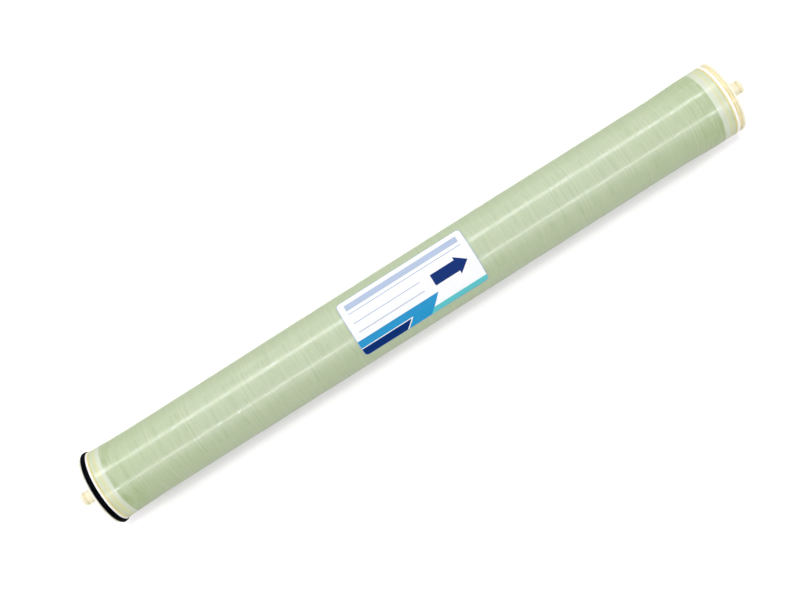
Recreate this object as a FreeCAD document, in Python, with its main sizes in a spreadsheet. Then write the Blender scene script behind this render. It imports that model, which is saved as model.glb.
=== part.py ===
import FreeCAD, Part
import math
import os
import Sketcher
from FreeCAD import Vector

# A spiral-wound reverse osmosis membrane element, four inches across and forty inches long.
# The element lies along X: feed water enters the end at -X and concentrate leaves at +X, the way the
# label's arrow points. Z is up, through the middle of the label. The origin is on the axis, half-way
# between the two tips of the permeate tube. Lengths are in millimetres.

doc = FreeCAD.newDocument("membrane_element")

# Driving dimensions

SIZES = [
    ("element_length", 1016.0, "over both tips of the permeate tube"),
    ("stub_length", 26.7, "permeate tube beyond the outer face of each end cap"),
    ("stub_diameter", 19.05, "turned end of the permeate tube, where a coupler slides on"),
    ("tube_diameter", 20.0, "permeate tube inside the element"),
    ("tube_bore", 14.0, "bore of the permeate tube"),
    ("tip_lead", 1.6, "length of the lead-in outside each tip"),
    ("tip_drop", 1.2, "how far that lead-in drops"),
    ("bore_chamfer", 0.6, "chamfer of the bore's mouths"),
    ("tip_collar", 4.8, "tip of the stub outside its groove"),
    ("stub_groove_width", 3.4, "groove turned round the stub"),
    ("stub_groove_depth", 0.8, "depth of that groove"),
    ("perforation_diameter", 3.2, "permeate holes drilled through both walls of the tube"),
    ("perforation_count", 9, "holes along the tube"),
    ("perforation_margin", 60.0, "from the roll's end to the first hole"),
    ("carrier_wrap", 0.6, "thinnest place of the permeate carrier wrapped round the tube"),
    ("leaf_count", 5, "membrane leaves wound together"),
    ("leaf_thickness", 0.74, "glued leaf: two membrane sheets with permeate carrier between them"),
    ("spacer_thickness", 0.86, "feed spacer net between neighbouring leaves"),
    ("film_thickness", 0.4, "thinnest place of the tape wound over the leaves' outer ends"),
    ("joint_tape_thickness", 0.4, "tape over the joint of roll and cap"),
    ("joint_tape_on_cap", 2.7, "width of that tape on the cap"),
    ("joint_tape_on_roll", 8.2, "width of that tape on the roll"),
    ("flange_rise", 1.6, "both flanges of an end cap above the shell at the label"),
    ("outer_flange_width", 2.8, "flange at the cap's outer face"),
    ("seal_groove_width", 6.4, "groove for the brine seal"),
    ("seal_groove_depth", 4.9, "depth of that groove below the flanges"),
    ("inner_flange_width", 3.4, "flange on the body side of the groove"),
    ("bead_width", 2.0, "step that the winding of the shell stops against"),
    ("bead_drop", 0.2, "that step below the flange"),
    ("lock_groove_from_bead", 1.6, "from the bead to the groove that the shell's resin fills"),
    ("lock_groove_width", 1.8, "width of that groove"),
    ("lock_groove_depth", 0.9, "depth of that groove"),
    ("cap_edge", 0.6, "chamfer of the cap's outer edges"),
    ("cap_depth", 22.2, "outer face of the cap to the end of the roll"),
    ("rim_wall", 5.0, "rim of the cap inside the shell"),
    ("web_recess", 3.0, "spokes below the cap's outer face"),
    ("hub_wall", 4.5, "hub of the cap round the permeate tube"),
    ("hub_recess", 0.8, "hub below the cap's outer face"),
    ("spoke_count", 8, "spokes between hub and rim"),
    ("spoke_width", 3.4, "thickness of a spoke"),
    ("shell_mid_diameter", 97.6, "fibreglass shell at the label"),
    ("shell_wall", 1.8, "wall of the shell there"),
    ("shell_mid_length", 280.0, "straight middle of the shell"),
    ("feed_waist_drop", 0.8, "narrowest place of the shell, near the feed end, below its middle"),
    ("feed_waist_from_end", 58.0, "from the shell's end to that place"),
    ("feed_flare_rise", 0.8, "shell where it flares to the feed end, above the waist"),
    ("feed_flare_from_end", 30.0, "from the shell's end to that place"),
    ("feed_thick_rise", 0.9, "shell over the feed end cap, above the flare"),
    ("feed_thick_from_end", 9.0, "length of that thick end"),
    ("concentrate_waist_drop", 0.5, "narrowest place near the concentrate end, below its middle"),
    ("concentrate_waist_from_end", 74.0, "from the shell's end to that place"),
    ("concentrate_flare_rise", 0.9, "shell where it flares to the concentrate end, above the waist"),
    ("concentrate_flare_from_end", 50.0, "from the shell's end to that place"),
    ("concentrate_thick_rise", 0.85, "shell over the concentrate end cap, above the flare"),
    ("concentrate_thick_from_end", 32.0, "length of that thick end"),
    ("seal_rise", 2.3, "lip of the free brine seal above the flanges"),
    ("seal_side_play", 0.15, "play between the seal and each wall of its groove"),
    ("seal_overhang", 0.8, "heel of the seal over the inner flange"),
    ("seal_clearance", 0.1, "heel of the seal above that flange"),
    ("seal_notch_depth", 3.6, "notch that opens the seal to the feed side"),
    ("seal_lip_thickness", 1.7, "lip at the seal's open side"),
    ("label_length", 187.0, "along the element"),
    ("label_width", 86.0, "round the shell"),
    ("label_thickness", 0.2, "film label with its print"),
    ("label_adhesive", 0.25, "adhesive that beds the label on the ridges of the winding"),
    ("label_corner", 4.5, "rounded corners of the label"),
]

sheet = doc.addObject("Spreadsheet::Sheet", "Sizes")
for row, (alias, value, meaning) in enumerate(SIZES, start=1):
    sheet.set(f"A{row}", meaning)
    sheet.set(f"B{row}", str(value))
    sheet.setAlias(f"B{row}", alias)
doc.recompute()


def size(alias):
    """A driving dimension as an expression."""
    return f"Sizes.{alias}"


def value_of(expression):
    """The number that an expression stands for now."""
    return float(sheet.evalExpression(expression))


# Places that several pieces share, as expressions in the driving dimensions

cap_face = f"({size('element_length')} / 2 - {size('stub_length')})"
roll_end = f"({cap_face} - {size('cap_depth')})"
groove_start = size("outer_flange_width")
groove_end = f"({groove_start} + {size('seal_groove_width')})"
bead_start = f"({groove_end} + {size('inner_flange_width')})"
bead_end = f"({bead_start} + {size('bead_width')})"
shell_end = f"({cap_face} - {bead_end})"
tube_radius = f"({size('tube_diameter')} / 2)"
carrier_radius = f"({tube_radius} + {size('carrier_wrap')})"
shell_radius = f"({size('shell_mid_diameter')} / 2)"
film_radius = f"({shell_radius} - {size('shell_wall')})"
roll_radius = f"({film_radius} - {size('film_thickness')})"
tape_radius = f"({film_radius} + {size('joint_tape_thickness')})"
lock_start = f"({bead_end} + {size('lock_groove_from_bead')})"
lock_end = f"({lock_start} + {size('lock_groove_width')})"
lock_radius = f"({film_radius} - {size('lock_groove_depth')})"
flange_radius = f"({shell_radius} + {size('flange_rise')})"
groove_radius = f"({flange_radius} - {size('seal_groove_depth')})"

FEED_END = "-1"
CONCENTRATE_END = "1"


def new_body(label):
    body = doc.addObject("PartDesign::Body", label)
    body.Label = label
    return body


def attached_sketch(body, name, plane):
    """A sketch on one of its own body's origin planes."""
    sketch = body.newObject("Sketcher::SketchObject", name)
    support = next(f for f in body.Origin.OriginFeatures if f.Role == plane)
    sketch.AttachmentSupport = [(support, "")]
    sketch.MapMode = "FlatFace"
    return sketch


def bind(sketch, kind, *where_and_expression):
    """Adds a dimension to a sketch and ties it to an expression."""
    *where, expression = where_and_expression
    index = sketch.addConstraint(Sketcher.Constraint(kind, *where, value_of(expression)))
    sketch.setExpression(f"Constraints[{index}]", expression)


def closed_outline(sketch, corners):
    """A closed outline of straight lines. Each corner is a pair of expressions, (along X, radius)."""
    points = [Vector(value_of(x), value_of(y), 0) for x, y in corners]
    count = len(points)
    for i in range(count):
        sketch.addGeometry(Part.LineSegment(points[i], points[(i + 1) % count]), False)
    for i in range(count):
        sketch.addConstraint(Sketcher.Constraint("Coincident", i, 2, (i + 1) % count, 1))
    for i, (x, y) in enumerate(corners):
        bind(sketch, "DistanceX", -1, 1, i, 1, x)
        bind(sketch, "DistanceY", -1, 1, i, 1, y)


def turned(label, corners):
    """A body turned about the X axis from its section."""
    body = new_body(label)
    sketch = attached_sketch(body, label + "_section", "XY_Plane")
    closed_outline(sketch, corners)
    turn = body.newObject("PartDesign::Revolution", label + "_turn")
    turn.Profile = sketch
    turn.ReferenceAxis = (sketch, ["H_Axis"])
    turn.Angle = 360
    sketch.Visibility = False
    doc.recompute()
    return body


def sleeve(label, start, end, inner, outer):
    """A plain tube round the X axis."""
    return turned(label, [(start, inner), (end, inner), (end, outer), (start, outer)])


# Permeate tube: an extruded plastic tube with turned ends and a drilled middle

def permeate_tube():
    chamfer = size("bore_chamfer")
    bore = f"({size('tube_bore')} / 2)"
    stub = f"({size('stub_diameter')} / 2)"
    groove = f"({stub} - {size('stub_groove_depth')})"
    tip = f"({size('element_length')} / 2)"
    collar = f"({tip} - {size('tip_collar')})"
    land = f"({collar} - {size('stub_groove_width')})"
    half = [
        (land, groove),
        (collar, groove),
        (collar, stub),
        (f"({tip} - {size('tip_lead')})", stub),
        (tip, f"({stub} - {size('tip_drop')})"),
        (tip, f"({bore} + {chamfer})"),
        (f"({tip} - {chamfer})", bore),
    ]
    shoulder = [(cap_face, tube_radius), (cap_face, stub), (land, stub)]
    positive = shoulder + half
    negative = [(f"-{x}", r) for x, r in reversed(positive)]
    body = turned("permeate_tube", positive + negative)

    first_hole = f"({roll_end} - {size('perforation_margin')})"
    sketch = attached_sketch(body, "perforation_sketch", "XY_Plane")
    radius = f"({size('perforation_diameter')} / 2)"
    start = Vector(-value_of(first_hole), 0, 0)
    sketch.addGeometry(Part.Circle(start, Vector(0, 0, 1), value_of(radius)), False)
    bind(sketch, "DistanceX", -1, 1, 0, 3, f"-{first_hole}")
    bind(sketch, "DistanceY", -1, 1, 0, 3, "0 * Sizes.tube_bore")
    bind(sketch, "Radius", 0, radius)
    hole = body.newObject("PartDesign::Pocket", "perforation")
    hole.Profile = sketch
    hole.Type = "ThroughAll"
    hole.Midplane = True
    sketch.Visibility = False
    doc.recompute()
    row = body.newObject("PartDesign::LinearPattern", "perforation_row")
    row.Originals = [hole]
    row.Direction = (sketch, ["H_Axis"])
    row.setExpression("Length", f"2 * {first_hole}")
    row.setExpression("Occurrences", size("perforation_count"))
    body.Tip = row
    doc.recompute()
    return body


# Wound pack: the leaves start at the wrapped tube and are rolled up together, each with its feed spacer
#
# The leaves unwind from a regular polygon with one corner for each leaf. Each arc of a leaf is centred
# on the next corner and its radius grows by the pitch, which is the polygon's side, so every leaf and
# every spacer nests on the one below all the way round.

leaf_count = int(value_of(size("leaf_count")))
core_radius = value_of(carrier_radius)
wound_radius = value_of(roll_radius)
spacer_share = value_of(f"{size('spacer_thickness')} / ({size('spacer_thickness')} + {size('leaf_thickness')})")
wanted_pitch = value_of(f"{size('spacer_thickness')} + {size('leaf_thickness')}")
arc_count = max(2, round((wound_radius - core_radius) / wanted_pitch) - 1)
pitch = (wound_radius - core_radius) / (arc_count + 1)
leaf_step = pitch * (1 - spacer_share)
sector = 2 * math.pi / leaf_count
corner_radius = pitch / (2 * math.sin(sector / 2))
lean = math.pi / 2 + sector / 2
first_radius = math.sqrt(core_radius**2 - (corner_radius * math.sin(lean)) ** 2)
first_radius -= corner_radius * math.cos(lean)
half_roll = value_of(roll_end)


def spiral_point(number, arc, offset, share):
    """A point of a leaf's spiral: a share of the way along an arc, at an offset outside its inner face."""
    corner_angle = sector * (number + arc)
    direction = corner_angle - lean + sector * share
    distance = first_radius + arc * pitch + offset
    return Vector(
        -half_roll,
        corner_radius * math.cos(corner_angle) + distance * math.cos(direction),
        corner_radius * math.sin(corner_angle) + distance * math.sin(direction),
    )


def spiral_arc(number, arc, offset):
    return Part.Arc(*(spiral_point(number, arc, offset, share) for share in (0, 0.5, 1))).toShape()


def spiral_step(number, arc, share, low, high):
    ends = [spiral_point(number, arc, offset, share) for offset in (low, high)]
    return Part.LineSegment(*ends).toShape()


def outline_of(edges):
    return Part.Wire(Part.__sortEdges__(edges))


def along_roll(label, section):
    """A piece of the roll with this cross-section from end to end."""
    piece = doc.addObject("Part::Feature", label)
    piece.Shape = section.extrude(Vector(2 * half_roll, 0, 0))
    return piece


def layer(label, number, low, high):
    """One spiral layer between two offsets from the leaf's inner face."""
    edges = [spiral_arc(number, arc, offset) for offset in (low, high) for arc in range(arc_count)]
    edges.append(spiral_step(number, 0, 0, low, high))
    edges.append(spiral_step(number, arc_count - 1, 1, low, high))
    return along_roll(label, Part.Face(outline_of(edges)))


def stepped_ring(label, arc, offset, low, high, radius):
    """A ring between a circle and the steps where the leaves start or end."""
    numbers = range(leaf_count)
    edges = [spiral_arc(number, arc, offset) for number in numbers]
    edges += [spiral_step(number, arc, 1, low, high) for number in numbers]
    circle = Part.makeCircle(radius, Vector(-half_roll, 0, 0), Vector(1, 0, 0))
    wires = sorted([outline_of(edges), Part.Wire([circle])], key=lambda wire: -wire.BoundBox.DiagonalLength)
    return along_roll(label, Part.Face(wires, "Part::FaceMakerBullseye"))


def permeate_carrier():
    return stepped_ring("permeate_carrier", 0, 0, -pitch, 0, value_of(tube_radius))


def roll_film():
    return stepped_ring("roll_film", arc_count - 1, pitch, 0, pitch, value_of(film_radius))


# End caps: one moulding with a hub, spokes and a rim that carries the seal groove

def end_cap(label, end):
    def at(depth):
        """A place along X, by its depth below the cap's outer face."""
        return f"{end} * ({cap_face} - {depth})"

    edge = size("cap_edge")
    hub = f"({tube_radius} + {size('hub_wall')})"
    rim = f"({film_radius} - {size('rim_wall')})"
    bead = f"({flange_radius} - {size('bead_drop')})"
    body = turned(
        label,
        [
            (at(size("hub_recess")), tube_radius),
            (at(size("hub_recess")), hub),
            (at(size("web_recess")), hub),
            (at(size("web_recess")), rim),
            (at("0 * Sizes.cap_edge"), rim),
            (at("0 * Sizes.cap_edge"), f"({flange_radius} - {edge})"),
            (at(edge), flange_radius),
            (at(groove_start), flange_radius),
            (at(groove_start), groove_radius),
            (at(groove_end), groove_radius),
            (at(groove_end), flange_radius),
            (at(bead_start), flange_radius),
            (at(bead_start), bead),
            (at(bead_end), bead),
            (at(bead_end), film_radius),
            (at(lock_start), film_radius),
            (at(lock_start), lock_radius),
            (at(lock_end), lock_radius),
            (at(lock_end), film_radius),
            (at(size("cap_depth")), film_radius),
            (at(size("cap_depth")), tube_radius),
        ],
    )

    # One window between two spokes, with sides parallel to them
    sketch = attached_sketch(body, label + "_window_sketch", "YZ_Plane")
    radii = [hub, rim]
    turns = [
        f"(180 deg / {size('spoke_count')} - asin({size('spoke_width')} / 2 / {radius}))" for radius in radii
    ]
    for radius, turn in zip(radii, turns):
        angle = math.radians(value_of(turn))
        circle = Part.Circle(Vector(0, 0, 0), Vector(0, 0, 1), value_of(radius))
        arc = sketch.addGeometry(Part.ArcOfCircle(circle, -angle, angle), False)
        sketch.addConstraint(Sketcher.Constraint("Coincident", arc, 3, -1, 1))
        bind(sketch, "Radius", arc, radius)
    for side, arc_end in ((-1, 1), (1, 2)):
        ends = []
        for radius, turn in zip(radii, turns):
            angle = math.radians(value_of(turn))
            far = value_of(radius)
            ends.append(Vector(far * math.cos(angle), side * far * math.sin(angle), 0))
        line = sketch.addGeometry(Part.LineSegment(*ends), False)
        for arc, (radius, turn) in enumerate(zip(radii, turns)):
            sketch.addConstraint(Sketcher.Constraint("Coincident", line, arc + 1, arc, arc_end))
            bind(sketch, "DistanceY", -1, 1, line, arc + 1, f"{side} * {radius} * sin({turn})")
    sketch.setExpression("AttachmentOffset.Base.z", at("0 * Sizes.cap_edge"))
    doc.recompute()

    solid_volume = body.Shape.Volume
    window = body.newObject("PartDesign::Pocket", label + "_window")
    window.Profile = sketch
    window.Type = "ThroughAll"
    window.Midplane = True
    sketch.Visibility = False
    doc.recompute()
    windows = body.newObject("PartDesign::PolarPattern", label + "_windows")
    windows.Originals = [window]
    windows.Axis = (sketch, ["N_Axis"])
    windows.Angle = 360
    windows.setExpression("Occurrences", size("spoke_count"))
    body.Tip = windows
    doc.recompute()
    if body.Shape.Volume > 0.95 * solid_volume:
        raise ValueError(f"{label}: the windows cut nothing")
    return body


# Brine seal: a rubber cup ring in the feed cap's groove, open to the feed side

def brine_seal():
    def at(depth):
        return f"{FEED_END} * ({cap_face} - {depth})"

    rise = size("seal_rise")
    lip = f"({flange_radius} + {rise})"
    heel_radius = f"({flange_radius} + {size('seal_clearance')})"
    front = f"({groove_start} + {size('seal_side_play')})"
    back = f"({groove_end} - {size('seal_side_play')})"
    heel = f"({groove_end} + {size('seal_overhang')})"
    notch_top = f"({lip} - {size('seal_lip_thickness')} / 2)"
    notch_bottom = f"({groove_radius} + 0.5 * ({flange_radius} - {groove_radius}))"
    return turned(
        "brine_seal",
        [
            (at(front), groove_radius),
            (at(back), groove_radius),
            (at(back), heel_radius),
            (at(heel), heel_radius),
            (at(heel), f"({flange_radius} + 0.45 * {rise})"),
            (at(f"({back} - 0.15 * {size('seal_groove_width')})"), f"({flange_radius} + 0.85 * {rise})"),
            (at(f"({front} + 0.4 * ({back} - {front}))"), lip),
            (at(f"({front} + 0.1 * ({back} - {front}))"), f"({lip} - 0.1 * {rise})"),
            (at(front), notch_top),
            (at(f"({front} + {size('seal_notch_depth')})"), f"({notch_top} - {size('seal_lip_thickness')})"),
            (at(front), notch_bottom),
        ],
    )


# Fibreglass shell: roving wound over the roll and both caps, thicker where the winding turns back

def fibreglass_shell():
    tape_outside = f"({cap_face} - {size('cap_depth')} + {size('joint_tape_on_cap')})"
    tape_inside = f"({roll_end} - {size('joint_tape_on_roll')})"
    inside_half = [
        (shell_end, film_radius),
        (f"({cap_face} - {lock_start})", film_radius),
        (f"({cap_face} - {lock_start})", lock_radius),
        (f"({cap_face} - {lock_end})", lock_radius),
        (f"({cap_face} - {lock_end})", film_radius),
        (tape_outside, film_radius),
        (tape_outside, tape_radius),
        (tape_inside, tape_radius),
        (tape_inside, film_radius),
    ]

    def outside(end):
        waist = f"({shell_radius} - {size(end + '_waist_drop')})"
        flare = f"({waist} + {size(end + '_flare_rise')})"
        thick = f"({flare} + {size(end + '_thick_rise')})"
        stations = [(f"({size('shell_mid_length')} / 2)", shell_radius)]
        for place, radius in (("waist", waist), ("flare", flare), ("thick", thick)):
            stations.append((f"({shell_end} - {size(f'{end}_{place}_from_end')})", radius))
        stations.append((shell_end, thick))
        return stations + inside_half

    positive = outside("concentrate")
    negative = [(f"-{x}", r) for x, r in reversed(outside("feed"))]
    return turned("fibreglass_shell", positive + negative)


# Label: a printed film on the middle of the shell

def label():
    body = new_body("label")
    half_length = f"({size('label_length')} / 2)"
    half_angle = f"({size('label_width')} / 2 / {shell_radius} * 180 / pi)"
    half_breadth = f"({shell_radius} * sin({half_angle} * 1 deg))"
    outline = attached_sketch(body, "label_outline", "XY_Plane")
    closed_outline(
        outline,
        [
            (f"-{half_length}", f"-{half_breadth}"),
            (half_length, f"-{half_breadth}"),
            (half_length, half_breadth),
            (f"-{half_length}", half_breadth),
        ],
    )
    block = body.newObject("PartDesign::Pad", "label_block")
    block.Profile = outline
    block.setExpression("Length", shell_radius + " * 2")
    doc.recompute()
    corners = []
    for number, edge in enumerate(block.Shape.Edges, start=1):
        across = [v.Point for v in edge.Vertexes]
        if abs(across[0].z - across[1].z) > 1:
            corners.append(f"Edge{number}")
    rounding = body.newObject("PartDesign::Fillet", "label_corners")
    rounding.Base = (block, corners)
    rounding.setExpression("Radius", size("label_corner"))
    doc.recompute()

    inner = f"({shell_radius} + {size('label_adhesive')})"
    outer = f"({inner} + {size('label_thickness')})"
    clear = f"({shell_radius} * 3)"
    for name, radii in (("shell_side", [inner]), ("printed_side", [outer, clear])):
        sketch = attached_sketch(body, name + "_sketch", "YZ_Plane")
        for number, radius in enumerate(radii):
            circle = Part.Circle(Vector(0, 0, 0), Vector(0, 0, 1), value_of(radius))
            sketch.addGeometry(circle, False)
            sketch.addConstraint(Sketcher.Constraint("Coincident", number, 3, -1, 1))
            bind(sketch, "Radius", number, radius)
        cut = body.newObject("PartDesign::Pocket", name)
        cut.Profile = sketch
        cut.Type = "ThroughAll"
        cut.Midplane = True
        sketch.Visibility = False
        doc.recompute()
        body.Tip = cut
    doc.recompute()
    return body


pieces = [permeate_tube(), permeate_carrier()]
for number in range(leaf_count):
    pieces.append(layer(f"membrane_leaf_{number + 1}", number, 0, leaf_step))
    pieces.append(layer(f"feed_spacer_{number + 1}", number, leaf_step, pitch))
pieces.append(roll_film())
for name, end in (("feed", FEED_END), ("concentrate", CONCENTRATE_END)):
    pieces.append(end_cap(name + "_end_cap", end))
    tape_start = f"{end} * ({roll_end} + {size('joint_tape_on_cap')})"
    tape_end = f"{end} * ({roll_end} - {size('joint_tape_on_roll')})"
    pieces.append(sleeve(name + "_joint_tape", tape_start, tape_end, film_radius, tape_radius))
pieces += [brine_seal(), fibreglass_shell(), label()]

# Check every object, then write each piece

doc.recompute()
for item in doc.Objects:
    if "Invalid" in item.State or "Error" in item.State:
        raise ValueError(f"{item.Label} failed: {item.State}")
os.makedirs("parts", exist_ok=True)
for piece in pieces:
    shape = piece.Shape
    if shape.isNull() or not shape.isValid() or not shape.Solids:
        raise ValueError(f"{piece.Label} has no valid solid")
    shape.exportStep(os.path.join("parts", piece.Label + ".step"))
    print(f"{piece.Label}: {len(shape.Solids)} solid, {shape.Volume / 1000:.2f} cm3")
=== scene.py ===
# A four inch reverse osmosis membrane element, seen from straight above its label.
# All lengths are metres in the CAD model's frame: X along the element, Z out through the label.

import math

import bpy
import numpy as np
from mathutils import Matrix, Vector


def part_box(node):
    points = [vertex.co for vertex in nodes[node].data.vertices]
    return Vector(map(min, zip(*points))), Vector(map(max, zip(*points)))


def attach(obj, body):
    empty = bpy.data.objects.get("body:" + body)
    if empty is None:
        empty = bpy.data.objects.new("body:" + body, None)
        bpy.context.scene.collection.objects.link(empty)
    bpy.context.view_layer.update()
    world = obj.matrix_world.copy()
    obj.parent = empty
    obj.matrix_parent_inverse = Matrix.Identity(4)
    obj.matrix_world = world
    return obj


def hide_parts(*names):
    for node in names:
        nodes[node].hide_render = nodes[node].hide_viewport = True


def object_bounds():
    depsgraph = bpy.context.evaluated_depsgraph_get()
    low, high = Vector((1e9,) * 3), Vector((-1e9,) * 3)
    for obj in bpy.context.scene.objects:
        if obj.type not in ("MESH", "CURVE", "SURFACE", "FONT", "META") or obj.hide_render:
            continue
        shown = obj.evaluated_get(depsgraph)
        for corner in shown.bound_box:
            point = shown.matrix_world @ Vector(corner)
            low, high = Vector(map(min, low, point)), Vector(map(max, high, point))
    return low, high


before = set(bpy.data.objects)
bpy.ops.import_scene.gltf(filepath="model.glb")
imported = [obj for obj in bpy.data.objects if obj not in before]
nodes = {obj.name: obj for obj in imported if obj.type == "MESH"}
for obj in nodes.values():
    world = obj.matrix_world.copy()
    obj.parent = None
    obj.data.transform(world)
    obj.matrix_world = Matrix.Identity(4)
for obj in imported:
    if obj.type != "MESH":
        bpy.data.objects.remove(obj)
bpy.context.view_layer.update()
MM = 0.001


# Fibreglass shell. Glass roving wet with epoxy is wound round the roll and over both caps, so it runs in
# fine hoops, is thicker where the winding turns back at each end and dips to a waist beside it. The cured
# resin is glossy and a little clear: the yellow tape over each cap joint shows as pale bands.

SHELL_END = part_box("fibreglass_shell")[1][0]
SHELL_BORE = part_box("roll_film")[1][2]
SHELL_MIDDLE_RADIUS = 48.8 * MM
# Stations of the outside: distance from the shell's end and radius, both in mm
FEED_PROFILE = ((58.0, 48.0), (30.0, 48.8), (9.0, 49.7), (0.0, 49.7))
CONCENTRATE_PROFILE = ((74.0, 48.3), (50.0, 49.2), (32.0, 50.05), (0.0, 50.05))
STRAIGHT_MIDDLE = 140 * MM
SMOOTHING = 14 * MM
STATIONS = 467
AROUND = 180
CREASE = math.radians(35)


def shell_radius(x):
    """Radius along the shell: straight lines between the stations, averaged over a window of 14 mm in
    which each place counts by its squared cosine."""
    feed = [(-SHELL_END + from_end * MM, radius * MM) for from_end, radius in reversed(FEED_PROFILE)]
    concentrate = [(SHELL_END - from_end * MM, radius * MM) for from_end, radius in CONCENTRATE_PROFILE]
    middle = [(-STRAIGHT_MIDDLE, SHELL_MIDDLE_RADIUS), (STRAIGHT_MIDDLE, SHELL_MIDDLE_RADIUS)]
    places, radii = zip(*feed, *middle, *concentrate)
    window = np.linspace(-SMOOTHING / 2, SMOOTHING / 2, 29)
    weight = np.cos(window / SMOOTHING * math.pi) ** 2
    near = np.interp(x[..., None] + window, places, radii)
    return (near * weight).sum(-1) / weight.sum()


def around(grid_x, grid_radius, angle):
    """Points at a place along X, a radius, and an angle from the top (+Z) towards +Y."""
    return np.stack([grid_x, grid_radius * np.sin(angle), grid_radius * np.cos(angle)], axis=-1)


def grid_mesh(points, close_rows=False, close_columns=False):
    """Joins a grid of points into four-sided faces, whose outside is row direction x column direction."""
    rows, columns = points.shape[:2]
    index = np.arange(rows * columns).reshape(rows, columns)
    if close_rows:
        index = np.vstack([index, index[:1]])
    if close_columns:
        index = np.hstack([index, index[:, :1]])
    faces = np.stack([index[:-1, :-1], index[1:, :-1], index[1:, 1:], index[:-1, 1:]], axis=-1)
    return points.reshape(-1, 3), faces.reshape(-1, 4)


def make_piece(name, grids, replaced):
    """One object out of grids, each given as its points and faces, that rides in place of a CAD node."""
    starts = np.cumsum([0] + [len(points) for points, faces in grids[:-1]])
    points = np.vstack([points for points, faces in grids])
    faces = np.vstack([grid[1] + start for grid, start in zip(grids, starts)])
    mesh = bpy.data.meshes.new(name)
    mesh.from_pydata(points.tolist(), [], faces.tolist())
    mesh.polygons.foreach_set("use_smooth", np.ones(len(faces), bool))
    mesh.set_sharp_from_angle(angle=CREASE)
    piece = bpy.data.objects.new(name, mesh)
    bpy.context.scene.collection.objects.link(piece)
    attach(piece, "root")
    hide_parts(replaced)
    return piece


def colour(red, green, blue):
    """A colour given as it looks on screen, 0 to 255, in the linear values that a shader wants."""
    shown = np.array([red, green, blue]) / 255
    linear = np.where(shown < 0.04045, shown / 12.92, ((shown + 0.055) / 1.055) ** 2.4)
    return (*linear.tolist(), 1.0)


class Value:
    """A number that varies over a surface. Sums on it add Math nodes to its material."""

    def __init__(self, shader, socket):
        self.shader = shader
        self.socket = socket

    def math(self, operation, *others):
        return self.shader.node("Math", [self, *others], operation=operation)

    def __add__(self, other):
        return self.math("ADD", other)

    def __sub__(self, other):
        return self.math("SUBTRACT", other)

    def __rsub__(self, other):
        return self.shader.node("Math", [other, self], operation="SUBTRACT")

    def __mul__(self, other):
        return self.math("MULTIPLY", other)

    def __truediv__(self, other):
        return self.math("DIVIDE", other)

    def __abs__(self):
        return self.math("ABSOLUTE")

    __radd__ = __add__
    __rmul__ = __mul__

    def clamped(self):
        return self.shader.node("Clamp", [self])

    def above(self, edge, soft):
        """0 under an edge and 1 over it, with a soft step between."""
        return ((self - edge) / soft + 0.5).clamped()

    def between(self, low, high, soft):
        return self.above(low, soft) * (1 - self.above(high, soft))


class Shader:
    """A material whose surface is one Principled BSDF."""

    def __init__(self, name):
        self.material = bpy.data.materials.new(name)
        self.material.use_nodes = True
        self.tree = self.material.node_tree
        self.tree.nodes.clear()
        self.place = self.node("TexCoord", output="Object")
        self.x, self.y, self.z = (self.node("SeparateXYZ", [self.place], output=axis) for axis in "XYZ")

    def node(self, kind, values=(), output=0, **settings):
        """Adds a node: its settings first, then the values or links of its sockets."""
        node = self.tree.nodes.new("ShaderNode" + kind)
        for setting, value in settings.items():
            setattr(node, setting, value)
        pairs = values.items() if isinstance(values, dict) else enumerate(values)
        for socket, value in pairs:
            if isinstance(value, Value):
                self.tree.links.new(value.socket, node.inputs[socket])
            else:
                node.inputs[socket].default_value = value
        return Value(self, node.outputs[output]) if node.outputs else None

    def point(self, x, y, z):
        return self.node("CombineXYZ", [x, y, z])

    def noise(self, point, scale, detail=3.0, roughness=0.5):
        values = {"Vector": point, "Scale": scale, "Detail": detail, "Roughness": roughness}
        return self.node("TexNoise", values, output="Fac")

    def rings(self, scale, draw, detail=3.0, roughness=0.5, along=1.0):
        """Noise whose Y and Z are scaled by draw and X by along, so a small draw makes rings round X."""
        return self.noise(self.point(self.x * along, self.y * draw, self.z * draw), scale, detail, roughness)

    def mix(self, share, first, second):
        """A colour between two: the first where the share is 0, the second where it is 1."""
        return self.node("Mix", {0: share, 6: first, 7: second}, output=2, data_type="RGBA")

    def radius(self):
        """Distance from the element's axis."""
        return (self.y * self.y + self.z * self.z).math("SQRT")

    def bump(self, height, distance, normal=None):
        values = {"Height": height, "Distance": distance, "Strength": 1.0}
        if normal is not None:
            values["Normal"] = normal
        return self.node("Bump", values)

    def finish(self, base, roughness, normal=None, **sockets):
        """Ends the material. Sockets that hold one number all over are given by name."""
        values = {"Base Color": base, "Roughness": roughness}
        if normal is not None:
            values["Normal"] = normal
        values.update({name.replace("_", " "): value for name, value in sockets.items()})
        surface = self.node("BsdfPrincipled", values)
        self.node("OutputMaterial", [surface])
        return self.material


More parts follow.
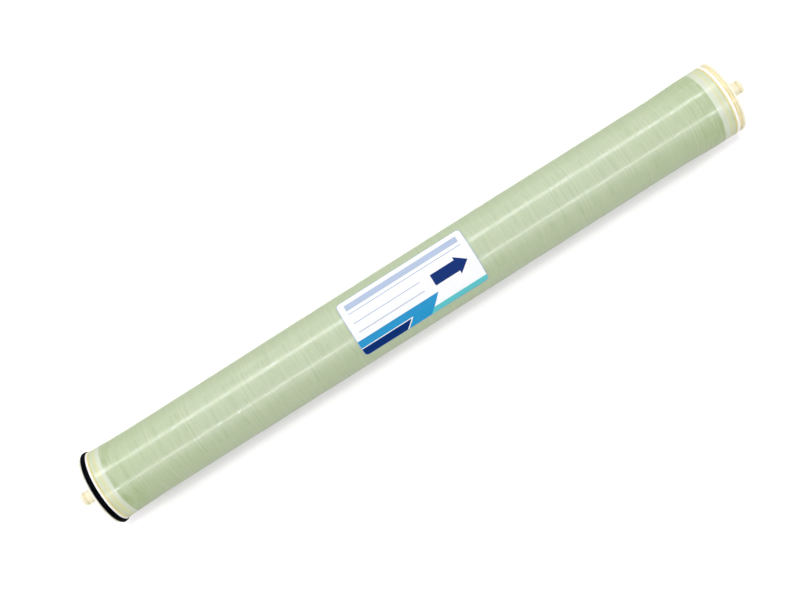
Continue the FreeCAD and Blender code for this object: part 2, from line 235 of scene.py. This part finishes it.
def fibreglass_material():
    shader = Shader("fibreglass")
    x, y, z = shader.x, shader.y, shader.z
    # Hoops: noise squeezed along X and drawn out round the shell, with two wider sets that lean a little
    lean = 0.012
    straight = shader.rings(620.0, 0.006, roughness=0.6)
    lean_left = shader.noise(shader.point(x + y * lean, y * lean, z * lean), 230.0)
    lean_right = shader.noise(shader.point(x - y * lean, y * lean, z * lean), 150.0)
    fine = shader.rings(1500.0, 0.006, detail=2.0)
    patchy = shader.rings(48.0, 0.3).above(0.52, 0.26)
    broad = shader.rings(30.0, 0.35, along=0.9)
    hoops = straight * 0.86 + lean_left * 0.08 + lean_right * 0.06

    end_distance = SHELL_END - abs(x)
    concentrate_side = x.above(0.0, 1 * MM)
    towards_end = (1 - end_distance / 0.16).clamped()
    body = shader.mix(towards_end * 0.8 + (broad - 0.5) * 0.7, colour(178, 192, 156), colour(171, 187, 142))
    wet = shader.rings(75.0, 0.6, detail=4.0, along=1.2)
    wet_out = wet.above(0.52, 0.16) * (1 - end_distance.above(34 * MM, 36 * MM)) * 0.75
    body = shader.mix(wet_out, body, colour(156, 175, 121))
    body = shader.mix(hoops.above(0.56, 0.2) * (patchy * 0.18 + 0.2), body, colour(202, 212, 184))
    body = shader.mix((1 - hoops.above(0.43, 0.2)) * (patchy * 0.04 + 0.09), body, colour(152, 171, 124))
    body = shader.mix((fine - 0.42).clamped() * 0.35, body, colour(208, 216, 192))

    # The joint under the resin, by distance from the shell's end: cap skirt, tape edge, pale tape, body
    lines = shader.rings(900.0, 0.03)
    wander = (shader.rings(24.0, 1.0, along=0.2) - 0.5) * 2.4 * MM
    depth = end_distance + wander
    tape_edge = 4.9 * MM + concentrate_side * (0.2 * MM)
    tape_end = 9.4 * MM - concentrate_side * (0.8 * MM)
    body_start = 15.2 * MM + concentrate_side * (1.5 * MM)
    skirt = shader.mix(lines.above(0.5, 0.3), colour(197, 207, 172), colour(208, 215, 185))
    yellow = shader.mix(lines.above(0.5, 0.2), colour(207, 213, 174), colour(214, 212, 156))
    pale = shader.mix(lines.above(0.5, 0.4), colour(205, 213, 188), colour(212, 219, 198))
    banded = shader.mix(depth.above(tape_edge, 2.6 * MM), skirt, yellow)
    banded = shader.mix(depth.above(tape_end, 1.8 * MM), banded, pale)
    base = shader.mix(depth.above(body_start, 0.9 * MM), banded, body)
    rim_line = 1 - end_distance.above(0.8 * MM, 0.8 * MM)
    base = shader.mix(rim_line * 0.6, base, colour(206, 196, 140))

    # The resin stands thicker and glossier on some hoops than on others, which breaks up the highlights,
    # and most of all on the side of the label, which lay on top while it cured
    glossy = shader.noise(shader.point(x + 0.3, y * 0.02, z * 0.02), 380.0, detail=4.0, roughness=0.7)
    pooled = shader.rings(150.0, 0.15)
    upward = (z / SHELL_MIDDLE_RADIUS).above(0.74, 0.3) * 0.75 + 0.25
    gloss = glossy.above(0.5, 0.1) * (0.3 + pooled.above(0.48, 0.14) * 0.7) * upward
    coat = 0.22 + gloss * 0.1
    roughness = 0.44 - gloss * 0.27
    ripple = shader.rings(110.0, 0.5, along=2.2)
    normal = shader.bump(ripple, 0.06 * MM)
    normal = shader.bump(straight, 0.007 * MM, normal)
    return shader.finish(base, roughness, normal, IOR=1.46, Coat_Weight=coat, Coat_Roughness=0.13)


# The outside: the profile, with uneven ridges of tow and a low wave of resin that winds round as three
# starts. Both fade out at the ends and under the label.
TOW_RIDGE = 0.014 * MM
RESIN_WAVE = 0.05 * MM
HALF_WAVE = 31 * MM
WAVE_STARTS = 3
END_FADE = 4 * MM
UNDER_LABEL = 96 * MM
LABEL_FADE = 6 * MM
angle = np.linspace(0, 2 * math.pi, AROUND, endpoint=False)
stations = np.linspace(-SHELL_END, SHELL_END, STATIONS)
rng = np.random.default_rng(41)
hoop_x, hoop_angle = np.meshgrid(stations, angle, indexing="ij")
tow = np.convolve(rng.normal(size=STATIONS + 6), np.hanning(7), mode="valid")
wave = np.sin(hoop_x / HALF_WAVE * math.pi + WAVE_STARTS * hoop_angle)
relief = TOW_RIDGE * tow[:, None] + RESIN_WAVE * wave
relief *= np.clip((SHELL_END - abs(hoop_x)) / END_FADE, 0, 1)
relief *= np.clip((abs(hoop_x) - UNDER_LABEL) / LABEL_FADE, 0, 1)
outer = around(hoop_x, shell_radius(hoop_x) + relief, hoop_angle)

# The end faces and the bore. Each end face is flat, with a ring of points a little inside its outer edge
lip = 0.35 * MM
end_radius = {-1: FEED_PROFILE[-1][1] * MM, 1: CONCENTRATE_PROFILE[-1][1] * MM}
inner_x = np.array([SHELL_END, SHELL_END, -SHELL_END, -SHELL_END])
inner_radius = np.array([end_radius[1] - lip, SHELL_BORE, SHELL_BORE, end_radius[-1] - lip])
back_x, back_angle = np.meshgrid(inner_x, angle, indexing="ij")
inner = around(back_x, np.repeat(inner_radius[:, None], AROUND, axis=1), back_angle)
shell_points = np.concatenate([outer, inner])
shell_grid = grid_mesh(shell_points, close_rows=True, close_columns=True)
shell = make_piece("wound_shell", [shell_grid], "fibreglass_shell")
shell.data.materials.append(fibreglass_material())


# End caps. Each is one cream moulding: a rim with two flanges and a groove for the brine seal, a hub
# glued on the permeate tube and eight spokes that hold the roll in but let the water through.

CAP_DEPTH = 22.2 * MM
CAP_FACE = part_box("concentrate_end_cap")[1][0]
FLANGE_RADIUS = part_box("concentrate_end_cap")[1][2]
GROOVE_RADIUS = 45.5 * MM
RIM_BORE = 42.0 * MM
HUB_RADIUS = 14.5 * MM
TUBE_RADIUS = 10.0 * MM
WEB_RECESS = 3.0 * MM
SPOKE_WIDTH = 3.4 * MM
SPOKES = 8
# A spoke's fillet at rim and hub, and how deep its ends are sunk in them
SPOKE_ROOT = 2.2 * MM
SPOKE_SUNK = 1.2 * MM
# Depths below the cap's face: the groove's foot and its inner wall, the inner flange's edge and the bead
GROOVE_START = 3.2 * MM
GROOVE_END = 9.2 * MM
INNER_FLANGE_EDGE = 12.6 * MM
BEAD_EDGE = 14.6 * MM


def rounded_outline(corners, steps=5):
    """A closed outline. Each corner P is cut back to A and B, and bridged by
    (1-t)^2 A + 2t(1-t) P + t^2 B."""
    table = np.array(corners)
    corner, cut = table[:, None, :2], table[:, None, 2:]
    before = np.roll(corner, 1, axis=0) - corner
    after = np.roll(corner, -1, axis=0) - corner
    start = corner + before / np.linalg.norm(before, axis=-1, keepdims=True) * cut
    end = corner + after / np.linalg.norm(after, axis=-1, keepdims=True) * cut
    t = np.linspace(0, 1, steps)[None, :, None]
    return ((1 - t) ** 2 * start + 2 * t * (1 - t) * corner + t**2 * end).reshape(-1, 2)


def turned(outline, segments=AROUND):
    """A closed outline of (x, radius) carried round the X axis."""
    turn = np.linspace(0, 2 * math.pi, segments, endpoint=False)
    x, turn = np.meshgrid(outline[:, 0], turn, indexing="ij")
    return grid_mesh(around(x, outline[:, 1:], turn), close_rows=True, close_columns=True)


def facing(end, outline):
    """An outline drawn by depth below the cap's face, placed at the feed (-1) or concentrate (1) end."""
    placed = np.column_stack([end * (CAP_FACE - outline[:, 0]), outline[:, 1]])
    return placed[::-1] if end > 0 else placed


def spoke(end, turn):
    """A spoke: a rounded bar section carried outwards, which widens as a quarter circle at both roots."""
    rows = np.linspace(0, 5 * MM, 11)
    distance = np.concatenate([HUB_RADIUS - SPOKE_SUNK + rows, RIM_BORE + SPOKE_SUNK - rows[::-1]])
    to_root = np.minimum(distance - HUB_RADIUS, RIM_BORE - distance)
    inside = np.clip(1 - to_root / SPOKE_ROOT, 0, 1)
    flare = SPOKE_ROOT * (1 - np.sqrt(1 - inside**2))
    low, high = WEB_RECESS, CAP_DEPTH
    half = SPOKE_WIDTH / 2
    front, rear = 0.6 * MM, 0.3 * MM
    section = rounded_outline([
        (low, half, front),
        (high, half, rear),
        (high, -half, rear),
        (low, -half, front),
    ])
    depth = np.repeat(section[None, :, 0], distance.size, axis=0)
    across = section[None, :, 1] * (1 + flare[:, None] / half)
    radial = np.repeat(distance[:, None], section.shape[0], axis=1)
    y = radial * math.cos(turn) - across * math.sin(turn)
    z = radial * math.sin(turn) + across * math.cos(turn)
    points = np.stack([end * (CAP_FACE - depth), y, z], axis=-1)
    if end > 0:
        points = points[:, ::-1]
    return grid_mesh(points, close_columns=True)


def end_cap(end):
    """Rim and hub, each an outline of depth, radius and corner cut turned round X, and the spokes."""
    flange, groove = FLANGE_RADIUS, GROOVE_RADIUS
    rim = [
        (0.0, RIM_BORE + 0.6 * MM, 0.5 * MM),
        (0.0, flange - 0.7 * MM, 0.6 * MM),
        (0.7 * MM, flange, 0.5 * MM),
        (GROOVE_START - 0.4 * MM, flange, 0.35 * MM),
        (GROOVE_START, groove, 0.5 * MM),
        (GROOVE_END - 0.2 * MM, groove, 0.5 * MM),
        (GROOVE_END, flange, 0.35 * MM),
        (INNER_FLANGE_EDGE, flange, 0.4 * MM),
        (INNER_FLANGE_EDGE, flange - 0.7 * MM, 0.15 * MM),
        (INNER_FLANGE_EDGE + 0.4 * MM, flange - 0.7 * MM, 0.15 * MM),
        (INNER_FLANGE_EDGE + 0.5 * MM, flange - 0.2 * MM, 0.3 * MM),
        (BEAD_EDGE, flange - 0.2 * MM, 0.5 * MM),
        (BEAD_EDGE, SHELL_BORE, 0.1 * MM),
        (CAP_DEPTH, SHELL_BORE, 0.3 * MM),
        (CAP_DEPTH, RIM_BORE, 0.3 * MM),
        (0.6 * MM, RIM_BORE, 0.4 * MM),
    ]
    hub = [
        (0.8 * MM, TUBE_RADIUS, 0.1 * MM),
        (0.8 * MM, HUB_RADIUS - 0.2 * MM, 0.8 * MM),
        (CAP_DEPTH, HUB_RADIUS, 0.3 * MM),
        (CAP_DEPTH, TUBE_RADIUS, 0.1 * MM),
    ]
    rings = [turned(facing(end, rounded_outline(outline))) for outline in (rim, hub)]
    spokes = [spoke(end, (index + 0.5) * 2 * math.pi / SPOKES) for index in range(SPOKES)]
    return rings + spokes


def cap_material():
    shader = Shader("cap_moulding")
    radius = shader.radius()
    depth = CAP_FACE - abs(shader.x)
    concentrate_side = shader.x.above(0.0, 1 * MM)
    cloud = shader.noise(shader.place, 55.0)
    flow = shader.rings(520.0, 0.18)
    base = shader.mix(cloud, colour(252, 249, 234), colour(249, 244, 222))
    outside = radius.above(45 * MM, 1 * MM)
    # The inner flange's rim is painted whiter than the rest of the moulding: a painted highlight.
    flange_highlight = depth.between(GROOVE_END - 0.2 * MM, INNER_FLANGE_EDGE + 0.15 * MM, 0.2 * MM) * outside
    base = shader.mix(flange_highlight * 0.9, base, colour(253, 253, 250))
    # The groove's foot is painted yellow, partly a stain and partly painted shade and warm bounced light;
    # its outer half is painted paler, as painted light against the shade by the outer wall
    low_down = 1 - radius.above(GROOVE_RADIUS + 1.4 * MM, 1.8 * MM)
    in_groove = depth.between(GROOVE_START - 0.1 * MM, GROOVE_END, 0.3 * MM) * low_down * outside
    outer_half_painted_light = (1 - depth.above(6.5 * MM, 1.4 * MM)) * 0.75 + (flow - 0.5) * 0.9
    groove_stain_and_shade = shader.mix(cloud.above(0.5, 0.12), colour(237, 220, 138), colour(223, 200, 100))
    groove_stain_and_shade = shader.mix(outer_half_painted_light, groove_stain_and_shade, colour(253, 247, 217))
    base = shader.mix(in_groove, base, groove_stain_and_shade)
    # A pale moulding mark crosses the concentrate cap's groove at a slant
    turn = shader.y.math("ARCTAN2", shader.z)
    across = turn * FLANGE_RADIUS + 14.2 * MM + (depth - 6 * MM) * 0.4
    mark = (1 - (abs(across) / (0.7 * MM)).above(1.0, 0.4)) * concentrate_side * outside
    mark = mark * (1 - depth.above(GROOVE_END, 0.3 * MM))
    base = shader.mix(mark * 0.8, base, colour(255, 253, 240))
    # The bead is painted a darker ochre: painted shade by the notch next to the inner flange, and the yellow
    # of light through the plastic.
    bead = depth.between(INNER_FLANGE_EDGE + 0.1 * MM, 16 * MM, 0.3 * MM) * outside
    base = shader.mix(bead, base, shader.mix(flow, colour(229, 219, 152), colour(213, 202, 124)))
    roughness = 0.30 + cloud * 0.14
    return shader.finish(base, roughness, shader.bump(flow, 0.03 * MM), IOR=1.5)


cap_finish = cap_material()
for side, end in (("feed", -1), ("concentrate", 1)):
    cap = make_piece(side + "_cap", end_cap(end), side + "_end_cap")
    cap.data.materials.append(cap_finish)


# Brine seal. A moulded rubber cup ring, stretched into the feed cap's groove. Its lip leans out towards
# the feed side, so the water's pressure spreads it against the vessel.

SEAL_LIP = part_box("brine_seal")[1][2]
SEAL_HEEL = 10.0 * MM
seal_rise = SEAL_LIP - FLANGE_RADIUS
seal_outline = rounded_outline([
    (GROOVE_START, GROOVE_RADIUS, 0.2 * MM),
    (GROOVE_START, FLANGE_RADIUS - 2.9 * MM, 0.3 * MM),
    (6.9 * MM, SEAL_LIP - 2.6 * MM, 0.5 * MM),
    (4.0 * MM, SEAL_LIP - 0.9 * MM, 0.3 * MM),
    (4.5 * MM, SEAL_LIP - 0.1 * seal_rise, 0.3 * MM),
    (5.9 * MM, SEAL_LIP, 0.8 * MM),
    (8.1 * MM, FLANGE_RADIUS + 0.85 * seal_rise, 0.8 * MM),
    (SEAL_HEEL, FLANGE_RADIUS + 0.45 * seal_rise, 0.4 * MM),
    (SEAL_HEEL, FLANGE_RADIUS + 0.1 * MM, 0.1 * MM),
    (9.05 * MM, FLANGE_RADIUS + 0.1 * MM, 0.1 * MM),
    (9.05 * MM, GROOVE_RADIUS, 0.2 * MM),
], steps=6)
seal_ring = turned(facing(-1, seal_outline), 240)
seal = make_piece("brine_seal_ring", [seal_ring], "brine_seal")


def rubber_material():
    shader = Shader("seal_rubber")
    sheen_patches = shader.noise(shader.place, 120.0, detail=4.0)
    rings = shader.rings(900.0, 0.05, detail=2.0)
    # The bluish patches in the rubber's colour are a painted sheen; the same patches also vary its roughness
    # and bump.
    base = shader.mix(sheen_patches.above(0.5, 0.3), colour(1, 1, 2), colour(6, 7, 13))
    roughness = 0.36 + sheen_patches * 0.24
    normal = shader.bump(rings * 0.6 + sheen_patches * 0.5, 0.05 * MM)
    return shader.finish(base, roughness, normal, IOR=1.2, Specular_IOR_Level=0.05)


seal.data.materials.append(rubber_material())


# Permeate tube. An extruded plastic tube, bored right through. Its stubs are turned to size, with a
# shallow groove near each tip, and slide into O-ring couplers.

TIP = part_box("permeate_tube")[1][0]
STUB_RADIUS = 9.525 * MM
BORE_RADIUS = 7.0 * MM
STUB_GROOVE = 0.8 * MM
stub_side = [
    (TIP - 8.2 * MM, STUB_RADIUS, 0.3 * MM),
    (TIP - 7.8 * MM, STUB_RADIUS - STUB_GROOVE, 0.3 * MM),
    (TIP - 5.2 * MM, STUB_RADIUS - STUB_GROOVE, 0.3 * MM),
    (TIP - 4.8 * MM, STUB_RADIUS, 0.3 * MM),
    (TIP - 1.6 * MM, STUB_RADIUS, 0.8 * MM),
    (TIP, STUB_RADIUS - 1.3 * MM, 0.4 * MM),
    (TIP, BORE_RADIUS + 0.5 * MM, 0.2 * MM),
    (TIP - 0.6 * MM, BORE_RADIUS, 0.3 * MM),
]
shoulder = [(CAP_FACE, TUBE_RADIUS, 0.2 * MM), (CAP_FACE, STUB_RADIUS, 0.1 * MM)]
feed_side = [(-x, radius, cut) for x, radius, cut in reversed(shoulder + stub_side)]
tube_outline = rounded_outline(feed_side + shoulder + stub_side)
tube = make_piece("tube_and_stubs", [turned(tube_outline, 96)], "permeate_tube")


def tube_material():
    shader = Shader("tube_plastic")
    cloud = shader.noise(shader.place, 70.0)
    lathe = shader.rings(1500.0, 0.1, detail=2.0)
    base = shader.mix(cloud, colour(250, 244, 218), colour(246, 237, 200))
    # The groove is painted darker and yellower: painted shade in the recess.
    in_groove = 1 - shader.radius().above(STUB_RADIUS - STUB_GROOVE / 2, 0.6 * MM)
    base = shader.mix(in_groove * 0.5, base, colour(238, 224, 172))
    roughness = 0.28 + cloud * 0.12
    return shader.finish(base, roughness, shader.bump(lathe, 0.02 * MM), IOR=1.5)


tube.data.materials.append(tube_material())


# Label. A printed film stuck on the middle of the shell, white with a thin border, a plain arrow for the
# flow and bands of blue. Its fields are left blank.

LABEL_LENGTH = 187 * MM
LABEL_WIDTH = 86 * MM
LABEL_CORNER = 6.0 * MM
FILM = 0.2 * MM
LABEL_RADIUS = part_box("label")[1][2]


def label_sheet():
    """A sheet on the shell: x along the length, and at each x the arc that a rounded rectangle leaves."""
    ends = LABEL_LENGTH / 2 - LABEL_CORNER * (1 - np.sin(np.linspace(0, math.pi / 2, 9)))
    x = np.concatenate([-ends[::-1], np.linspace(-ends[0], ends[0], 41)[1:-1], ends])
    past = np.clip(abs(x) - (LABEL_LENGTH / 2 - LABEL_CORNER), 0, LABEL_CORNER)
    half = LABEL_WIDTH / 2 - LABEL_CORNER + np.sqrt(LABEL_CORNER**2 - past**2)
    share = np.linspace(-1, 1, 65)
    angle = half[:, None] * share / LABEL_RADIUS
    x = np.repeat(x[:, None], share.size, axis=1)
    return around(x, LABEL_RADIUS, angle)


label = make_piece("label_film", [grid_mesh(label_sheet())], "label")
thickness = label.modifiers.new("film thickness", "SOLIDIFY")
thickness.thickness = FILM
thickness.offset = -1


def label_material():
    """The print, laid out in mm from the label's middle: u along the element and v across, towards +Y."""
    shader = Shader("label_print")
    u = shader.x / MM
    v = shader.y.math("ARCTAN2", shader.z) * (LABEL_RADIUS / MM)
    ink = 0.25

    def box(left, right, low, high, slant=0.0):
        along = u - v * slant if slant else u
        return along.between(left, right, ink) * v.between(low, high, ink)

    navy, blue = colour(0, 44, 112), colour(40, 150, 204)
    teal, pale = colour(96, 198, 204), colour(160, 178, 208)
    base = shader.mix(shader.noise(shader.place, 40.0), colour(253, 253, 254), colour(250, 251, 252))
    # Straight bands with slanted ends along the lower edge, one inside the other
    base = shader.mix(box(-100, 100, -50, -33.0), base, teal)
    base = shader.mix(box(-100, 44, -50, -17.0, 0.9), base, blue)
    base = shader.mix(box(-100, 10, -50, -28.0, 0.9), base, colour(253, 253, 254))
    base = shader.mix(box(-100, 8, -50, -29.2, 0.9), base, navy)
    # Blank fields: a heading strip and three ruled lines
    base = shader.mix(box(-84, 84, 25.0, 34.5), base, colour(180, 195, 221))
    base = shader.mix(box(-84, 84, 19.2, 20.3), base, pale)
    base = shader.mix(box(-84, 14, 5.4, 6.4), base, pale)
    base = shader.mix(box(-84, 14, -7.5, -6.5), base, pale)
    # Flow arrow: a shaft and a triangular head, whose half height shrinks towards its tip
    shaft = box(30, 66, -9.0, 6.6)
    head = u.between(66, 82, ink) * (((82 - u) * 0.78 - abs(v + 1.2)) / ink).clamped()
    base = shader.mix((shaft + head).clamped(), base, navy)
    # Thin border along the cut edge and round its corners
    corner = LABEL_CORNER / MM
    lengthwise = (abs(u) - (LABEL_LENGTH / MM / 2 - corner)).math("MAXIMUM", 0.0)
    sideways = (abs(v) - (LABEL_WIDTH / MM / 2 - corner)).math("MAXIMUM", 0.0)
    from_edge = corner - (lengthwise * lengthwise + sideways * sideways).math("SQRT")
    base = shader.mix(1 - from_edge.above(0.9, ink), base, pale)
    ripple = shader.rings(240.0, 0.2)
    return shader.finish(base, 0.45, shader.bump(ripple, 0.03 * MM), IOR=1.46, Specular_IOR_Level=0.08)


label.data.materials.append(label_material())


# The roll. Membrane leaves and feed spacers lie in turn round the tube, and show through the caps'
# windows as a fine spiral. These CAD nodes keep their shape and get their materials here.

def sheet_material(name, first, second, scale, roughness):
    shader = Shader(name)
    cloth = shader.noise(shader.place, scale, detail=4.0)
    base = shader.mix(cloth, colour(*first), colour(*second))
    return shader.finish(base, roughness, shader.bump(cloth, 0.05 * MM), IOR=1.45)


def spacer_material():
    """A net: two families of strands that cross at right angles, seen on the spacer's end and faces."""
    shader = Shader("spacer_net")
    strand = 2.4 * MM
    turn = shader.y.math("ARCTAN2", shader.z) * (30 * MM)
    first = ((shader.x + turn) * (2 * math.pi / strand)).math("SINE")
    second = ((shader.x - turn) * (2 * math.pi / strand)).math("SINE")
    net = first.math("MAXIMUM", second).above(0.5, 0.6)
    base = shader.mix(net, colour(150, 160, 160), colour(226, 231, 230))
    return shader.finish(base, 0.45, shader.bump(net, 0.1 * MM), IOR=1.49)


finishes = {
    "membrane_leaf": sheet_material("membrane", (238, 234, 216), (224, 218, 196), 300.0, 0.55),
    "feed_spacer": spacer_material(),
    "permeate_carrier": sheet_material("carrier_cloth", (236, 236, 230), (220, 220, 212), 900.0, 0.8),
    "roll_film": sheet_material("roll_tape", (222, 226, 208), (208, 214, 192), 200.0, 0.4),
    "feed_joint_tape": sheet_material("joint_tape", (222, 216, 160), (208, 202, 146), 200.0, 0.4),
}
finishes["concentrate_joint_tape"] = finishes["feed_joint_tape"]
for node_name, node in nodes.items():
    for start, finish in finishes.items():
        if node_name.startswith(start):
            node.data.materials.clear()
            node.data.materials.append(finish)


# Studio. A white table under a plain sky and softboxes, of which the one overhead throws the close shadow.
# A wide card mirrors in the resin down to the shell's lower side, and two strips draw its highlights.

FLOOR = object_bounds()[0][2]
TABLE_REACH = 1.8
SHADOW_FRONT = -58 * MM
SHADOW_BACK = 22 * MM
SHADOW_END = 484 * MM
sides = (-TABLE_REACH, TABLE_REACH)
table_points = np.array([[[x, y, FLOOR] for y in sides] for x in sides])
table_mesh = bpy.data.meshes.new("table")
table_mesh.from_pydata(table_points.reshape(-1, 3).tolist(), [], [(0, 2, 3, 1)])
table = bpy.data.objects.new("table", table_mesh)
bpy.context.scene.collection.objects.link(table)


def table_material():
    """A plain white that the camera sees lighter, most of all clear of the element, so that only the
    close shadow shows."""
    shader = Shader("table_white")
    white = shader.node("BsdfDiffuse", [(0.66, 0.66, 0.67, 1)])
    close = shader.node("BsdfDiffuse", [(0.91, 0.895, 0.915, 1)])
    clear = shader.node("BsdfDiffuse", [(1.70, 1.70, 1.70, 1)])
    beside = (shader.y - SHADOW_BACK).math("MAXIMUM", SHADOW_FRONT - shader.y) / (36 * MM)
    beyond = (abs(shader.x) - SHADOW_END) / (40 * MM)
    lifted = shader.node("MixShader", [beside.math("MAXIMUM", beyond).clamped(), close, clear])
    seen = shader.node("LightPath", output="Is Camera Ray")
    surface = shader.node("MixShader", [seen, white, lifted])
    shader.node("OutputMaterial", [surface])
    return shader.material


table.data.materials.append(table_material())

SKY = 0.3
world = bpy.data.worlds.new("studio")
bpy.context.scene.world = world
world.use_nodes = True
background = world.node_tree.nodes["Background"]
rays = world.node_tree.nodes.new("ShaderNodeLightPath")
strength = world.node_tree.nodes.new("ShaderNodeMath")
strength.operation = "MULTIPLY_ADD"
strength.inputs[1].default_value = 1 - SKY
strength.inputs[2].default_value = SKY
background.inputs["Color"].default_value = (1, 1, 1, 1)
world.node_tree.links.new(rays.outputs["Is Camera Ray"], strength.inputs[0])
world.node_tree.links.new(strength.outputs[0], background.inputs["Strength"])


def lamp(name, lean, distance, length, width, radiance, mirrored, swing=0.0):
    """A lamp at a lean from the vertical, positive towards +Y, and a swing towards +X, which faces the
    origin. It either lights the element or only mirrors in it. Angles in degrees, lengths in metres."""
    light = bpy.data.lights.new(name, "AREA")
    light.shape = "RECTANGLE"
    light.size, light.size_y = length, width
    light.energy = radiance * math.pi * length * width
    light.color = (0.92, 0.89, 1.0) if mirrored else (1.0, 1.0, 1.0)
    stand = bpy.data.objects.new(name, light)
    lean_over = Matrix.Rotation(-math.radians(lean), 4, "X")
    swing_over = Matrix.Rotation(math.radians(swing), 4, "Y")
    stand.matrix_world = swing_over @ lean_over @ Matrix.Translation((0, 0, distance))
    stand.visible_camera = False
    stand.visible_glossy = mirrored
    stand.visible_diffuse = not mirrored
    bpy.context.scene.collection.objects.link(stand)


lamp("overhead_softbox", 3, 2.6, 3.6, 0.6, 2.9, mirrored=False)
lamp("feed_end_softbox", 0, 2.4, 1.2, 1.2, 3.2, mirrored=False, swing=-62)
lamp("concentrate_end_softbox", 0, 2.4, 1.2, 1.2, 3.2, mirrored=False, swing=62)
lamp("upper_softbox", 84, 2.4, 3.6, 0.5, 7.2, mirrored=False)
lamp("lower_softbox", -48, 2.4, 3.6, 0.7, 3.0, mirrored=False)
lamp("mirrored_card", 26, 2.2, 6.0, 13.0, 1.8, mirrored=True)
lamp("upper_strip", 42, 2.2, 3.4, 0.4, 8.6, mirrored=True)
lamp("lower_strip", -25, 2.2, 3.4, 0.2, 11.5, mirrored=True)


# Camera. It looks straight down on the element, at a point 18 mm from its middle on the feed side, and is
# turned so that the element rises to the right.

VIEW_DISTANCE = 1.57
FOCAL_PIXELS = 1199.8
IMAGE_WIDTH = 800
RISE = math.radians(32.28)
TILT = math.radians(0.6)
TARGET = np.array([-18.4 * MM, 0.63 * MM, 0.0])

camera_data = bpy.data.cameras.new("camera")
camera_data.sensor_width = 36.0
camera_data.lens = FOCAL_PIXELS * camera_data.sensor_width / IMAGE_WIDTH
camera = bpy.data.objects.new("camera", camera_data)
bpy.context.scene.collection.objects.link(camera)
bpy.context.scene.camera = camera
along = np.array([1.0, 0.0, 0.0])
across = np.array([0.0, math.cos(TILT), math.sin(TILT)])
back = np.array([0.0, -math.sin(TILT), math.cos(TILT)])
right = math.cos(RISE) * along - math.sin(RISE) * across
up = math.sin(RISE) * along + math.cos(RISE) * across
pose = np.eye(4)
pose[:3] = np.column_stack([right, up, back, TARGET + VIEW_DISTANCE * back])
camera.matrix_world = Matrix(pose.tolist())

bpy.context.scene.view_settings.view_transform = "Standard"
